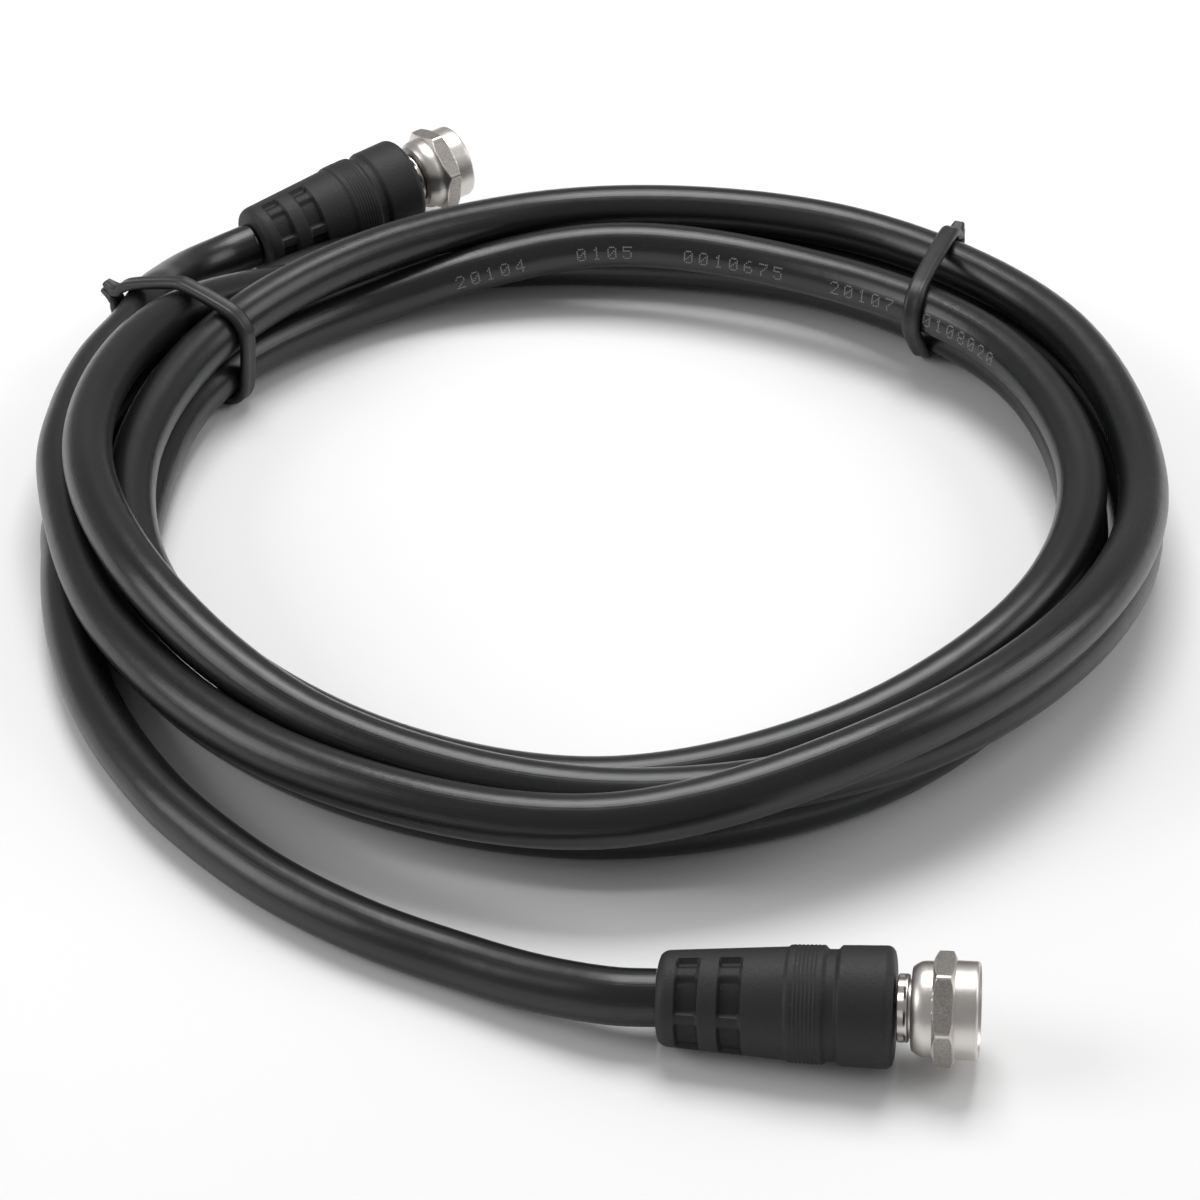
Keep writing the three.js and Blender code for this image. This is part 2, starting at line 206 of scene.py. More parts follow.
class Nodes:
    """A node tree that is written from Python."""

    def __init__(self, tree):
        self.tree = tree

    def add(self, kind, settings=None, values=None, out=0):
        node = self.tree.nodes.new(kind)
        for key, value in (settings or {}).items():
            setattr(node, key, value)
        for key, value in (values or {}).items():
            if isinstance(value, Signal):
                self.tree.links.new(value.socket, node.inputs[key])
            else:
                node.inputs[key].default_value = value
        return Signal(self, node.outputs[out]) if len(node.outputs) else node


print("operators:", [name for name in vars(Signal) if name.startswith("__")][2:])

# %% [markdown]
# Each material starts as the standard shader with its fixed values set on its own sockets.
# What varies over the surface is linked afterwards.

# %% A helper that starts a material


def new_material(name, **fixed):
    """An empty material's nodes and its shader, with the fixed values set."""
    material = bpy.data.materials.new(name)
    material.use_nodes = True
    nodes = Nodes(material.node_tree)
    shader = material.node_tree.nodes["Principled BSDF"]
    for socket, value in fixed.items():
        shader.inputs[socket.replace("_", " ")].default_value = value
    return material, nodes, shader


def feed(nodes, shader, **signals):
    """Links signals to the shader's sockets."""
    for socket, signal in signals.items():
        nodes.tree.links.new(signal.socket, shader.inputs[socket.replace("_", " ")])


def noise(nodes, where, scale, detail=3.0, rough=0.5):
    return nodes.add("ShaderNodeTexNoise", None, {
        "Vector": where, "Scale": scale, "Detail": detail, "Roughness": rough})


def mix_colours(nodes, factor, one, other):
    return nodes.add("ShaderNodeMix", {"data_type": "RGBA"}, {0: factor, 6: one, 7: other}, 2)


def bump(nodes, height, depth, strength=1.0, under=None):
    """Turns a height signal into a tilted normal. The depth is in metres."""
    values = {"Height": height, "Distance": depth, "Strength": strength}
    if under is not None:
        values["Normal"] = under
    return nodes.add("ShaderNodeBump", None, values)


def place_in(nodes):
    return nodes.add("ShaderNodeTexCoord", None, None, 3)


# %% [markdown]
# The jacket is black PVC, extruded over the braid in one go. Its gloss is soft: it was cooled
# in a water bath, which leaves faint lines along it and slow ripples where the braid presses
# through. The lines follow the cable, so they need to know how far round it a point is. The
# tube stores that as a vector of its own, because a plain angle would jump at its seam.

# %% Jacket material
jacket, nodes, shader = new_material("jacket_pvc", IOR=1.5)
where = place_in(nodes)
wrap = nodes.add("ShaderNodeAttribute", {"attribute_name": "wrap"}, None, 1)
along_only = nodes.add("ShaderNodeVectorMath", {"operation": "MULTIPLY"}, {0: wrap, 1: (1, 1, 0.02)})
lines = noise(nodes, along_only, 26, 2)
ripples = noise(nodes, where, 230, 2)
dust = noise(nodes, where, 1500, 4, 0.7)
blotches = noise(nodes, where, 60, 3)
tone = mix_colours(nodes, blotches, (0.006, 0.0062, 0.007, 1), (0.0105, 0.0108, 0.0118, 1))
speck = dust.over(0.66) * 0.3
feed(nodes, shader,
     Base_Color=mix_colours(nodes, speck, tone, (0.035, 0.035, 0.036, 1)),
     Roughness=0.2 + 0.12 * blotches + 0.06 * lines,
     Normal=bump(nodes, lines * 0.25 + ripples, 0.0001, 0.7,
                 bump(nodes, dust, 0.00002, 0.5)))
print("jacket has", len(jacket.node_tree.nodes), "nodes")

# %% [markdown]
# The boots are moulded from a softer, duller plastic. The mould was spark eroded, so the whole
# surface has a fine grain, and handling leaves pale scuffs on the raised parts. The floors of
# its windows get little light, so they are painted nearly black: painted shade. The mesh marks them.

# %% Boot material
boot_plastic, nodes, shader = new_material("boot_plastic", IOR=1.48, Specular_IOR_Level=0.38)
where = place_in(nodes)
window_shade = nodes.add("ShaderNodeAttribute", {"attribute_name": "marked"}, None, 2)
grain = noise(nodes, where, 2600, 3, 0.6)
blotches = noise(nodes, where, 170, 3)
scuffs = noise(nodes, where, 520, 5, 0.72)
tone = mix_colours(nodes, blotches, (0.014, 0.0142, 0.015, 1), (0.021, 0.021, 0.022, 1))
tone = mix_colours(nodes, scuffs.over(0.67) * 0.25, tone, (0.07, 0.07, 0.07, 1))
feed(nodes, shader,
     # the window floors' mark paints them nearly black: painted shade in the recesses
     Base_Color=mix_colours(nodes, window_shade * 0.85, tone, (0.003, 0.003, 0.003, 1)),
     Roughness=0.5 + 0.16 * grain,
     Normal=bump(nodes, grain, 0.00006, 0.7))
print("boot plastic has", len(boot_plastic.node_tree.nodes), "nodes")

# %% [markdown]
# The nuts are turned brass with satin nickel on it, a warm grey. The lathe leaves the round
# parts fairly smooth, with fine pits. The six flats were drawn with the bar, not turned, so
# they are duller and grainy. The mesh marks them too.

# %% Nickel material
nickel, nodes, shader = new_material("satin_nickel", Metallic=1.0)
where = place_in(nodes)
flat = nodes.add("ShaderNodeAttribute", {"attribute_name": "marked"}, None, 2)
pits = noise(nodes, where, 3800, 3, 0.65)
cloud = noise(nodes, where, 420, 3)
worn = mix_colours(nodes, cloud, (0.60, 0.57, 0.545, 1), (0.74, 0.71, 0.68, 1))
sandy = mix_colours(nodes, pits, (0.15, 0.14, 0.132, 1), (0.60, 0.57, 0.54, 1))
feed(nodes, shader,
     Base_Color=mix_colours(nodes, flat, worn, sandy),
     Roughness=0.3 + 0.12 * cloud + 0.1 * flat,
     Normal=bump(nodes, pits, 0.00004, 0.35))
print("nickel has", len(nickel.node_tree.nodes), "nodes")

# %% [markdown]
# The small parts inside the nut are white polyethylene and bare copper-clad wire, and the ties
# are black rubber. Each gets its own slight unevenness.

# %% Insulator, pin, tie, ink and floor materials


def simple_material(name, dark, light, scale, rough, depth, **fixed):
    """A colour between two tones, with a roughness and a bump from the same noise."""
    material, nodes, shader = new_material(name, **fixed)
    spots = noise(nodes, place_in(nodes), scale, 3, 0.6)
    feed(nodes, shader,
         Base_Color=mix_colours(nodes, spots, dark + (1,), light + (1,)),
         Roughness=rough + 0.15 * spots,
         Normal=bump(nodes, spots, depth, 0.5))
    return material


dielectric = simple_material("white_polyethylene", (0.72, 0.71, 0.67), (0.86, 0.85, 0.81), 900, 0.35, 0.00003)
copper = simple_material(
    "copper_wire", (0.55, 0.26, 0.14), (0.78, 0.42, 0.26), 1200, 0.2, 0.00001, Metallic=1.0)
tie_rubber = simple_material("tie_rubber", (0.008, 0.008, 0.009), (0.018, 0.018, 0.02), 800, 0.36, 0.00005)
ink = simple_material("white_ink", (0.15, 0.15, 0.152), (0.24, 0.24, 0.24), 3000, 0.5, 0.00001)
floor_paper = simple_material("pale_floor", (0.84, 0.84, 0.84), (0.88, 0.88, 0.88), 12, 0.7, 0.0001)

# %% [markdown]
# The cable is one round section carried along one line, which is what the Curve to Mesh node
# does. The line comes in as a bare mesh of points and edges. The section's own points become
# the `wrap` attribute: across, up, and how far along the cable in metres.

# %% A tree that sweeps a round section


def geometry_tree(name, inputs):
    """An empty geometry tree with a Geometry input, more inputs with their defaults, and ends."""
    tree = bpy.data.node_groups.new(name, "GeometryNodeTree")
    tree.interface.new_socket("Geometry", in_out="INPUT", socket_type="NodeSocketGeometry")
    sockets = {}
    for label, (kind, default) in inputs.items():
        socket = tree.interface.new_socket(label, in_out="INPUT", socket_type="NodeSocket" + kind)
        socket.default_value = default
        sockets[label] = socket.identifier
    tree.interface.new_socket("Geometry", in_out="OUTPUT", socket_type="NodeSocketGeometry")
    nodes = Nodes(tree)
    start = tree.nodes.new("NodeGroupInput")
    given = {socket.name: Signal(nodes, socket) for socket in start.outputs if socket.name}
    return nodes, given, sockets


def close_tree(nodes, geometry, material):
    """Ends a geometry tree in real geometry with its material."""
    solid = nodes.add("GeometryNodeRealizeInstances", None, {0: geometry})
    dressed = nodes.add("GeometryNodeSetMaterial", None, {0: solid, "Material": material})
    end = nodes.tree.nodes.new("NodeGroupOutput")
    nodes.tree.links.new(dressed.socket, end.inputs[0])


def run_tree(name, vertices, edges, nodes, sockets, settings, attributes=()):
    """Runs a geometry tree on bare points and edges and keeps the result as a plain mesh."""
    mesh = bpy.data.meshes.new(name + "_line")
    mesh.from_pydata([tuple(v) for v in vertices], edges, [])
    for label, values in attributes:
        kind = "FLOAT_VECTOR" if np.ndim(values) == 2 else "FLOAT"
        store = mesh.attributes.new(label, kind, "POINT").data
        store.foreach_set("vector" if kind == "FLOAT_VECTOR" else "value", np.ravel(values))
    source = bpy.data.objects.new(name + "_source", mesh)
    bpy.context.collection.objects.link(source)
    modifier = source.modifiers.new("build", "NODES")
    modifier.node_group = nodes.tree
    for label, value in settings.items():
        modifier[sockets[label]] = value
    depsgraph = bpy.context.evaluated_depsgraph_get()
    made = bpy.data.meshes.new_from_object(source.evaluated_get(depsgraph))
    bpy.data.objects.remove(source)
    made.name = name
    piece = bpy.data.objects.new(name, made)
    bpy.context.collection.objects.link(piece)
    made.shade_smooth()
    return piece


nodes, given, sweep_sockets = geometry_tree(
    "sweep_round", {"Radius": ("Float", 0.003), "Sides": ("Int", 32)})
line = nodes.add("GeometryNodeMeshToCurve", None, {0: given["Geometry"]})
line = nodes.add("GeometryNodeSetCurveNormal", {"mode": "Z_UP"}, {0: line})
section = nodes.add("GeometryNodeCurvePrimitiveCircle", None, {
    "Resolution": given["Sides"], "Radius": given["Radius"]})
across = nodes.add("GeometryNodeInputPosition")
kept = nodes.tree.nodes.new("GeometryNodeCaptureAttribute")
kept.capture_items.new("VECTOR", "Across")
nodes.tree.links.new(section.socket, kept.inputs[0])
nodes.tree.links.new(across.socket, kept.inputs[1])
tube = nodes.add("GeometryNodeCurveToMesh", None, {
    0: line, "Profile Curve": Signal(nodes, kept.outputs[0]), "Fill Caps": True})
run = nodes.add("GeometryNodeInputNamedAttribute", {"data_type": "FLOAT"}, {"Name": "run"})
split = nodes.tree.nodes.new("ShaderNodeSeparateXYZ")
nodes.tree.links.new(kept.outputs[1], split.inputs[0])
joined = nodes.add("ShaderNodeCombineXYZ", None, {
    0: Signal(nodes, split.outputs[0]) * 330, 1: Signal(nodes, split.outputs[1]) * 330, 2: run})
tube = nodes.add("GeometryNodeStoreNamedAttribute", {"data_type": "FLOAT_VECTOR"}, {
    0: tube, "Name": "wrap", 3: joined})
close_tree(nodes, tube, jacket)

# %% [markdown]
# The tube replaces the three plain solids of the cable, with its real length and diameter.
# It leaves the boot at the back and ends in the one in front.

# %% The cable
CABLE_SIDES = 36
cable_points = MM * (cable_line + COIL_CENTRE)
cable = run_tree(
    "cable", cable_points, [(i, i + 1) for i in range(len(cable_points) - 1)], nodes, sweep_sockets,
    {"Radius": MM * CABLE_DIAMETER / 2, "Sides": CABLE_SIDES}, [("run", MM * cable_run)])
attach(cable, "cable")
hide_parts("cable_coil", "cable_tail_front", "cable_tail_back")
print("cable has", len(cable.data.polygons), "faces")

# %% [markdown]
# Everything on a connector is round about one axis. A mesh of rings makes such pieces: each
# ring is a list of points round the axis, and the radius may change on the way round, so that
# windows, hexagons and threads come from the same helper as plain turned parts. The first and
# last rings are closed with a fan or joined to each other.

# %% A helper that makes meshes from rings
FULL_TURN = 2 * math.pi


def mesh_from_rings(name, rings, material, closed=False, smooth_angle=35, marks=None):
    """A mesh over an array of rings of points, capped at its ends, or closed on itself."""
    count, sides = rings.shape[:2]
    vertices = rings.reshape(-1, 3)
    faces = []
    last = count if closed else count - 1
    for i in range(last):
        j = (i + 1) % count
        for k in range(sides):
            m = (k + 1) % sides
            faces.append((i * sides + k, i * sides + m, j * sides + m, j * sides + k))
    if not closed:
        middles = np.array([rings[0].mean(axis=0), rings[-1].mean(axis=0)])
        first, second = len(vertices), len(vertices) + 1
        vertices = np.vstack([vertices, middles])
        for k in range(sides):
            m = (k + 1) % sides
            faces.append((first, m, k))
            faces.append((second, (count - 1) * sides + k, (count - 1) * sides + m))
    mesh = bpy.data.meshes.new(name)
    mesh.from_pydata([tuple(v) for v in MM * (vertices + COIL_CENTRE)], [], faces)
    if marks is not None:
        store = mesh.attributes.new("marked", "FLOAT", "POINT").data
        store.foreach_set("value", np.concatenate([np.ravel(marks), [0, 0]])[:len(vertices)])
    mesh.materials.append(material)
    mesh.shade_smooth()
    mesh.set_sharp_from_angle(angle=math.radians(smooth_angle))
    piece = bpy.data.objects.new(name, mesh)
    bpy.context.collection.objects.link(piece)
    return piece


def rings_on(boot, along, radii, sides):
    """Rings round a connector's axis. Radii are one for each ring, or one for each point."""
    axis, up, side = axes_of(boot)
    angles = FULL_TURN * np.arange(sides) / sides
    ways = np.cos(angles)[:, None] * up + np.sin(angles)[:, None] * side
    radii = np.asarray(radii, float)
    radii = np.repeat(radii[:, None], sides, axis=1) if radii.ndim == 1 else radii
    centres = np.array(boot["place"]) + np.asarray(along)[:, None] * axis
    return centres[:, None, :] + radii[:, :, None] * ways[None, :, :]


def turned_piece(name, boot, profile, sides, material, **options):
    along, radii = np.array(profile, float).T
    return mesh_from_rings(name, rings_on(boot, along, radii, sides), material, **options)


# %% [markdown]
# The boot is moulded over the end of the cable. Two rows of windows near the cable let it
# bend. They are bridged by webs of three kinds, which repeat after half a turn. Then comes a
# taper, a small step, a grip with fine rings, a shallow groove and a round collar. The windows
# could be cut with booleans. Here the radius is a formula of the place instead, which keeps
# the mesh even and its edges soft, as moulded edges are.

# %% The boots
BOOT_LENGTH = 24.4
BOOT_CABLE_RADIUS, BOOT_TAPER_RADIUS = 4.95, 5.85
BOOT_GRIP_RADIUS, BOOT_END_RADIUS = 6.05, 6.38
STEP_START, STEP_WIDTH = 13.3, 0.3
GROOVE_START, GROOVE_WIDTH, GROOVE_DEPTH = 17.1, 1.8, 0.42
SLOT_STARTS, SLOT_WIDTH, SLOT_DEPTH = (2.1, 6.55), 2.25, 0.62
SLOT_SOFTNESS, WEB_SOFTNESS, GROOVE_SOFTNESS = 0.3, 0.35, 0.5
WEBS = [(-25, 3.6, 1.0), (15, 1.5, 0.55), (75, 1.3, 0.7)]  # turn in degrees, width, share of the depth
GRIP_RING_PITCH, GRIP_RING_HEIGHT = 0.42, 0.045
BOOT_SIDES, BOOT_STEP, EDGE_RINGS = 120, 0.14, 9
CABLE_EDGE, CABLE_EDGE_SHARE, COLLAR_EDGE = 1.1, 0.7, 0.95


def soft_step(x, edge, width):
    """0 before an edge and 1 after it, with a smooth rise of that width."""
    t = np.clip((x - edge) / width + 0.5, 0, 1)
    return t * t * (3 - 2 * t)


def window(x, start, end, soft):
    return soft_step(x, start, soft) * (1 - soft_step(x, end, soft))


def boot_radius(along):
    taper = BOOT_CABLE_RADIUS + (BOOT_TAPER_RADIUS - BOOT_CABLE_RADIUS) * along / STEP_START
    share = (along - STEP_START) / (BOOT_LENGTH - STEP_START)
    grip = BOOT_GRIP_RADIUS + (BOOT_END_RADIUS - BOOT_GRIP_RADIUS) * share
    past = soft_step(along, STEP_START + STEP_WIDTH / 2, STEP_WIDTH)
    return taper + (grip - taper) * past


def boot_rings(boot):
    ends = [np.linspace(0, CABLE_EDGE, EDGE_RINGS),
            np.linspace(BOOT_LENGTH - COLLAR_EDGE, BOOT_LENGTH, EDGE_RINGS)]
    along = np.unique(np.round(np.concatenate(
        ends + [np.arange(CABLE_EDGE, BOOT_LENGTH - COLLAR_EDGE, BOOT_STEP)]), 3))
    angles = FULL_TURN * np.arange(BOOT_SIDES) / BOOT_SIDES
    a, b = np.meshgrid(along, angles, indexing="ij")
    radius = boot_radius(a)
    webs = np.zeros_like(a)
    for degrees, width, rise in WEBS:
        past = (b - math.radians(degrees)) % math.pi
        off = np.minimum(past, math.pi - past) * BOOT_CABLE_RADIUS
        webs = np.maximum(webs, rise * (1 - soft_step(off, width / 2, WEB_SOFTNESS)))
    # mask of the window floors, which the boot material paints nearly black as painted shade
    window_shade = np.zeros_like(a)
    for start in SLOT_STARTS:
        inside = window(a, start, start + SLOT_WIDTH, SLOT_SOFTNESS)
        radius -= SLOT_DEPTH * inside * (1 - webs)
        window_shade += inside * (1 - webs)
    groove = window(a, GROOVE_START + 0.2, GROOVE_START + GROOVE_WIDTH - 0.2, GROOVE_SOFTNESS)
    radius -= GROOVE_DEPTH * groove
    fine = window(a, STEP_START + 0.6, GROOVE_START - 0.3, 0.3)
    radius += GRIP_RING_HEIGHT * fine * np.sin(FULL_TURN * a / GRIP_RING_PITCH)
    near = np.clip(1 - a / CABLE_EDGE, 0, 1)
    radius -= CABLE_EDGE * CABLE_EDGE_SHARE * (1 - np.sqrt(1 - near ** 2))
    far = np.clip(1 - (BOOT_LENGTH - a) / COLLAR_EDGE, 0, 1)
    radius -= COLLAR_EDGE * (1 - np.sqrt(1 - far ** 2))
    return rings_on(boot, along, radius, BOOT_SIDES), window_shade


boots = {}
for side, boot in (("front", FRONT_BOOT), ("back", BACK_BOOT)):
    name = f"boot_{side}_moulded"
    rings, marks = boot_rings(boot)
    boots[side] = mesh_from_rings(name, rings, boot_plastic, smooth_angle=50, marks=marks)
    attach(boots[side], "cable")
    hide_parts(f"boot_{side}")
    print(name, len(boots[side].data.polygons), "faces")

# %% [markdown]
# The ferrule is a thin sleeve, crimped over the braid by a tool that leaves soft flats, with
# the neck and flange that the nut turns on. The flats show between boot and nut.

# %% The ferrules
FERRULE_START, FERRULE_LENGTH, FERRULE_RADIUS = 24.7, 1.2, 3.55
NUT_START = FERRULE_START + FERRULE_LENGTH + GAP
NUT_WALL = 1.4
NECK_RADIUS, FLANGE_RADIUS, FLANGE_LENGTH = 3.0, 4.0, 1.0
FLANGE_START = NUT_START + NUT_WALL + GAP
FLANGE_END = FLANGE_START + FLANGE_LENGTH
CRIMPS, CRIMP_DEPTH = 8, 0.28
FERRULE_SIDES, FERRULE_STEP, FERRULE_RINGS = 96, 0.12, 9


def ferrule_rings(boot):
    sleeve_end = FERRULE_START + FERRULE_LENGTH
    profile = [(FERRULE_START, FERRULE_RADIUS - 0.15), (FERRULE_START + FERRULE_STEP, FERRULE_RADIUS)]
    profile += [(FERRULE_START + FERRULE_STEP + FERRULE_STEP * i, FERRULE_RADIUS)
                for i in range(1, FERRULE_RINGS)]
    profile += [(sleeve_end, FERRULE_RADIUS - 0.1), (sleeve_end, NECK_RADIUS),
                (FLANGE_START, NECK_RADIUS), (FLANGE_START, FLANGE_RADIUS - 0.1),
                (FLANGE_START + 0.1, FLANGE_RADIUS), (FLANGE_END - 0.1, FLANGE_RADIUS),
                (FLANGE_END, FLANGE_RADIUS - 0.1)]
    along, radii = np.array(profile).T
    angles = FULL_TURN * np.arange(FERRULE_SIDES) / FERRULE_SIDES
    crimp = CRIMP_DEPTH * np.abs(np.sin(CRIMPS * angles / 2)) ** 3
    share = 1 - soft_step(along, sleeve_end - 0.35, 0.3)
    return rings_on(boot, along, radii[:, None] - share[:, None] * crimp[None, :], FERRULE_SIDES)


inner_pieces = {"front": [], "back": []}
for side, boot in (("front", FRONT_BOOT), ("back", BACK_BOOT)):
    ferrule = mesh_from_rings(f"ferrule_{side}_crimped", ferrule_rings(boot), nickel)
    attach(ferrule, "cable")
    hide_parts(f"ferrule_{side}")
    inner_pieces[side].append(ferrule)
print("ferrule end at", FLANGE_END, "mm from the boot's cable end")

# %% [markdown]
# Inside the nut, the cable's white insulator ends just past the flange, and its bare centre
# wire stands out of it as the pin. Both are plain turned shapes with broken edges.

# %% Insulators and pins
NUT_LENGTH = 6.9
NUT_END = NUT_START + NUT_LENGTH
INSULATOR_START, INSULATOR_LENGTH, INSULATOR_RADIUS = FLANGE_END + GAP, 0.9, 1.9
PIN_START = INSULATOR_START + INSULATOR_LENGTH + GAP
PIN_RADIUS, PIN_SHORT = 0.42, 0.6

for side, boot in (("front", FRONT_BOOT), ("back", BACK_BOOT)):
    end = INSULATOR_START + INSULATOR_LENGTH
    insulator = turned_piece(f"insulator_{side}_cut", boot, [
        (INSULATOR_START, 1.8), (INSULATOR_START + 0.1, INSULATOR_RADIUS),
        (end - 0.15, INSULATOR_RADIUS), (end - 0.03, 1.82), (end, 1.7)], 48, dielectric)
    tip = NUT_END - PIN_SHORT
    pin = turned_piece(f"pin_{side}_wire", boot, [
        (PIN_START, PIN_RADIUS), (tip - 0.45, PIN_RADIUS), (tip - 0.2, 0.33),
        (tip - 0.05, 0.2), (tip, 0.08)], 24, copper)
    for piece, node, slot in ((insulator, f"insulator_{side}", "dielectric"), (pin, f"pin_{side}", "copper")):
        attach(piece, "cable")
        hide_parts(node)
        inner_pieces[side].append(piece)
print("pin from", round(PIN_START, 2), "to", round(NUT_END - PIN_SHORT, 2), "mm")

# %% [markdown]
# The nut is turned from hexagon bar: a barrel-shaped shoulder at the back, the hexagon with
# its corners turned down, and a round collar. In the outer rings the radius is the smallest of
# the hexagon's and of the cone that turned it down. The inner rings carry the thread, which is
# a real helix: its phase moves on by one pitch for each turn.

# %% The nuts
NUT_SHOULDER_LENGTH, NUT_FLANGE_LENGTH = 2.2, 2.3
NUT_SHOULDER_RADIUS, NUT_COLLAR_RADIUS = 4.95, 5.1
BARREL_LENGTH, BARREL_DROP = 1.5, 0.62
COLLAR_BEVEL_LENGTH, COLLAR_BEVEL_DROP = 0.3, 0.22
HEX_APOTHEM, NUT_CORNER_RADIUS = 5.3, 6.05
CHAMFER_LENGTH, CHAMFER_DROP = 0.43, 0.75
NUT_HOLE_RADIUS, THREAD_RADIUS = 3.3, 4.45
THREAD_PITCH, THREAD_DEPTH = 0.794, 0.24
FLAT_ANGLE = math.radians(46)
NUT_SIDES = 180


def hexagon_radius(angles):
    off = (angles - FLAT_ANGLE + math.pi / 6) % (math.pi / 3) - math.pi / 6
    return HEX_APOTHEM / np.cos(off)


def nut_outside(along, angles):
    """The nut's outer radius, and whether it is one of the flats."""
    a, b = np.meshgrid(along, angles, indexing="ij")
    barrel = NUT_SHOULDER_RADIUS - BARREL_DROP * np.clip(1 - a / BARREL_LENGTH, 0, 1) ** 2.2
    past = np.clip((a - (NUT_LENGTH - COLLAR_BEVEL_LENGTH)) / COLLAR_BEVEL_LENGTH, 0, 1)
    collar = NUT_COLLAR_RADIUS - COLLAR_BEVEL_DROP * past ** 2
    body = np.where(a < NUT_SHOULDER_LENGTH + NUT_FLANGE_LENGTH / 2, barrel, collar)
    start, end = NUT_SHOULDER_LENGTH, NUT_SHOULDER_LENGTH + NUT_FLANGE_LENGTH
    to_edge = np.minimum(a - start, end - a)
    cone = NUT_CORNER_RADIUS - CHAMFER_DROP * np.clip(1 - to_edge / CHAMFER_LENGTH, 0, 1)
    hexagon = hexagon_radius(b)
    flange = np.minimum(hexagon, cone)
    inside = to_edge >= -1e-6
    radius = np.where(inside, np.maximum(body, flange), body)
    flats = np.clip((to_edge - 0.12) / 0.15, 0, 1) * np.clip((cone - hexagon) / 0.12, 0, 1)
    return radius, flats


def nut_rings(boot):
    start, end = NUT_SHOULDER_LENGTH, NUT_SHOULDER_LENGTH + NUT_FLANGE_LENGTH
    along = np.concatenate([
        np.linspace(0, BARREL_LENGTH, 10), np.linspace(BARREL_LENGTH + 0.1, start - 0.002, 4),
        np.linspace(start, start + CHAMFER_LENGTH, 7), np.linspace(start + 0.55, end - 0.55, 6),
        np.linspace(end - CHAMFER_LENGTH, end, 7),
        np.linspace(end + 0.002, NUT_LENGTH - COLLAR_BEVEL_LENGTH, 6),
        np.linspace(NUT_LENGTH - 0.24, NUT_LENGTH, 5)])
    angles = FULL_TURN * np.arange(NUT_SIDES) / NUT_SIDES
    outer, flats = nut_outside(along, angles)
    inner_along = np.arange(NUT_LENGTH - 0.1, NUT_WALL + 0.25, -THREAD_PITCH / 6)
    a, b = np.meshgrid(inner_along, angles, indexing="ij")
    phase = (a / THREAD_PITCH + b / FULL_TURN) % 1
    tooth = np.clip(2.6 * np.abs(phase - 0.5) - 0.15, 0, 1)
    fade = soft_step(a, NUT_LENGTH - 0.5, 0.5)
    thread = THREAD_RADIUS + THREAD_DEPTH * np.maximum(tooth, fade)
    rear = np.full((3, NUT_SIDES), [[THREAD_RADIUS], [NUT_HOLE_RADIUS], [NUT_HOLE_RADIUS]])
    lip = np.full((1, NUT_SIDES), THREAD_RADIUS + THREAD_DEPTH)
    radii = np.vstack([outer, lip, thread, rear])
    places = np.concatenate([along, [NUT_LENGTH], inner_along, [NUT_WALL, NUT_WALL, 0]])
    marks = np.vstack([flats, np.zeros((len(radii) - len(outer), NUT_SIDES))])
    return rings_on(boot, NUT_START + places, radii, NUT_SIDES), marks


nuts = {}
for side, boot in (("front", FRONT_BOOT), ("back", BACK_BOOT)):
    rings, marks = nut_rings(boot)
    nuts[side] = mesh_from_rings(
        f"nut_{side}_plated", rings, nickel, closed=True, smooth_angle=28, marks=marks)
    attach(nuts[side], f"nut_{side}")
    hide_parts(f"nut_{side}")
    print(nuts[side].name, len(nuts[side].data.polygons), "faces")

# %% [markdown]
# A tie is a pair of rubber cords with a groove between them, pulled tight round all strands at
# one place. Its route is worked out as the band finds it: in each direction round the bundle
# it lies on the strand that reaches furthest. The two ends stand out side by side.

# %% Where a tie runs
TIE_WIDTH, TIE_THICKNESS = 1.5, 0.9
TIE_END_LENGTH, TIE_END_TURN = 1.8, 0.35
CORD_PAIR_WIDTH, CORD_PAIR_THICKNESS = 2.5, 1.3
TIE_ABOVE_FLOOR = 0.03
TIE_DIRECTIONS = 24
BUNDLE_MIDDLE = 62.0
TIES = {"left": {"hour": 10.9, "slant": 0.0}, "right": {"hour": 7.5, "slant": 24.0}}
SIDE_STEPS = 36
fine_line = curve_through(stations, SIDE_STEPS)


def half_cut(aside, ahead):
    """Half the width that a strand takes up within the tie's width, when it crosses aslant."""
    turn = math.atan(abs(aside / ahead))
    return CABLE_DIAMETER / 2 / math.cos(turn) + TIE_WIDTH / 2 * math.tan(turn)


def tie_plane(tie):
    angle = clock_angle(tie["hour"])
    turn = angle + math.radians(tie["slant"])
    middle = BUNDLE_MIDDLE * np.array([math.cos(angle), math.sin(angle), 0])
    outwards = np.array([math.cos(turn), math.sin(turn), 0])
    return middle, outwards, np.array([-outwards[1], outwards[0], 0])


def strands_across(middle, outwards, along):
    found = []
    relative = fine_line - middle
    ahead = relative @ along
    for i in np.nonzero(ahead[:-1] * ahead[1:] <= 0)[0]:
        here = relative[i + 1]
        step = here - relative[i]
        if here @ outwards > -BUNDLE_MIDDLE / 2:
            found.append((np.array([here @ outwards, here[2]]),
                          np.array([half_cut(step @ outwards, step @ along),
                                    half_cut(step[2], step @ along)])))
    return found


